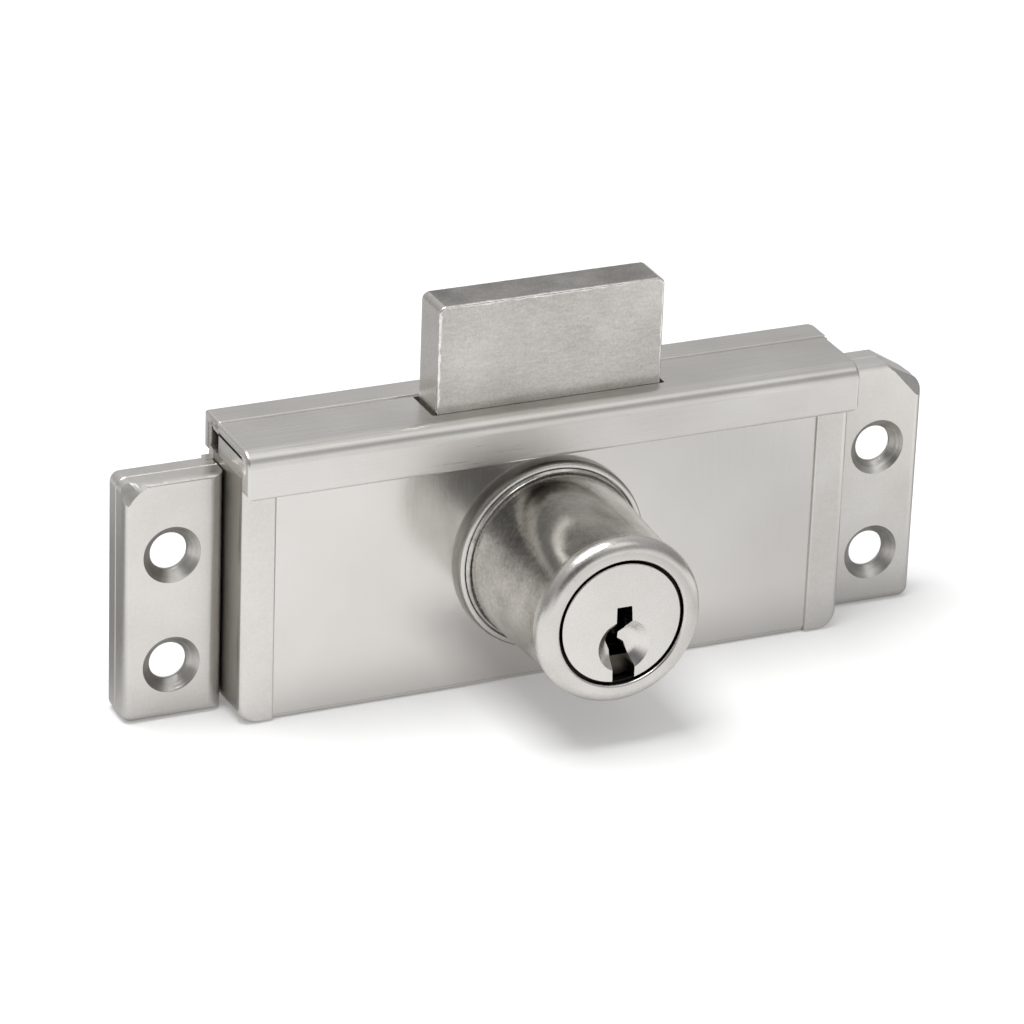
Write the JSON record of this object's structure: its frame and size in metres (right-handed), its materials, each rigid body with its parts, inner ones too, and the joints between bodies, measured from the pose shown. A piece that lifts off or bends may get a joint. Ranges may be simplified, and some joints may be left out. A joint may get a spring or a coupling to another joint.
{
  "type": "roller shutter lock",
  "caption": "Surface-mounted shutter lock: a flat deadbolt rises from a channelled case, driven by a keyed wafer cylinder, with a countersunk screw ear at each end.",
  "frame": {"origin": "middle of the four screw holes, on the mounting face behind the ears", "axes": "+X along the lock to the ear with the cut corner, -Y out of the keyhole side, +Z the way the bolt comes out"},
  "size_m": [0.108, 0.0345, 0.0511],
  "materials": {
    "nickel_casting": "zinc casting, satin nickel plated",
    "nickel_sheet": "steel sheet, brushed along its length and satin nickel plated",
    "cylinder_nickel": "turned and nickel plated, half gloss",
    "plug_face": "brass, nickel plated, fine satin face",
    "bolt_steel": "ground steel with worn bright edges",
    "plated_steel": "zinc plated steel",
    "spring_steel": "bare spring steel",
    "gear_steel": "sintered steel",
    "wafer_brass": "stamped brass"
  },
  "bodies": {
    "case": {"mounting_base": "nickel_casting", "case_shell": "nickel_casting", "front_panel": "nickel_sheet", "panel_studs": "plated_steel", "case_screws": "plated_steel", "front_channel": "nickel_sheet", "rear_rail": "nickel_sheet", "channel_screws": "plated_steel", "guide_pins": "plated_steel", "rattle_spring": "spring_steel", "spring_rivets": "plated_steel", "base_ring": "cylinder_nickel", "cylinder_barrel": "cylinder_nickel"},
    "plug": {"plug": "plug_face", "plug_clip": "spring_steel", "pinion": "gear_steel", "pinion_washer": "plated_steel", "pinion_screw": "plated_steel", "wafer_spring_1": "spring_steel", "wafer_spring_2": "spring_steel", "wafer_spring_3": "spring_steel", "wafer_spring_4": "spring_steel", "wafer_spring_5": "spring_steel", "wafer_spring_6": "spring_steel"},
    "bolt": {"bolt": "bolt_steel"},
    "wafer_1": {"wafer_1": "wafer_brass"},
    "wafer_2": {"wafer_2": "wafer_brass"},
    "wafer_3": {"wafer_3": "wafer_brass"},
    "wafer_4": {"wafer_4": "wafer_brass"},
    "wafer_5": {"wafer_5": "wafer_brass"},
    "wafer_6": {"wafer_6": "wafer_brass"}
  },
  "joints": [
    {"name": "plug_turn", "type": "hinge", "parent": "case", "child": "plug", "pos_m": [0, -0.0325, 0.00235], "axis": [0, 1, 0], "range_deg": [0, 180]},
    {"name": "bolt_slide", "type": "slide", "parent": "case", "child": "bolt", "axis": [0, 0, -1], "range_m": [0, 0.01414]},
    {"name": "wafer_1_lift", "type": "slide", "parent": "plug", "child": "wafer_1", "axis": [0, 0, 1], "range_m": [0, 0.0012], "stiffness_N_per_m": 15, "springref_m": 0.003},
    {"name": "wafer_2_lift", "type": "slide", "parent": "plug", "child": "wafer_2", "axis": [0, 0, 1], "range_m": [0, 0.0012], "stiffness_N_per_m": 15, "springref_m": 0.003},
    {"name": "wafer_3_lift", "type": "slide", "parent": "plug", "child": "wafer_3", "axis": [0, 0, 1], "range_m": [0, 0.0012], "stiffness_N_per_m": 15, "springref_m": 0.003},
    {"name": "wafer_4_lift", "type": "slide", "parent": "plug", "child": "wafer_4", "axis": [0, 0, 1], "range_m": [0, 0.0012], "stiffness_N_per_m": 15, "springref_m": 0.003},
    {"name": "wafer_5_lift", "type": "slide", "parent": "plug", "child": "wafer_5", "axis": [0, 0, 1], "range_m": [0, 0.0012], "stiffness_N_per_m": 15, "springref_m": 0.003},
    {"name": "wafer_6_lift", "type": "slide", "parent": "plug", "child": "wafer_6", "axis": [0, 0, 1], "range_m": [0, 0.0012], "stiffness_N_per_m": 15, "springref_m": 0.003}
  ],
  "couplings": [
    {"joint": "plug_turn", "follows": "bolt_slide", "rad_per_m": 222.17}
  ]
}
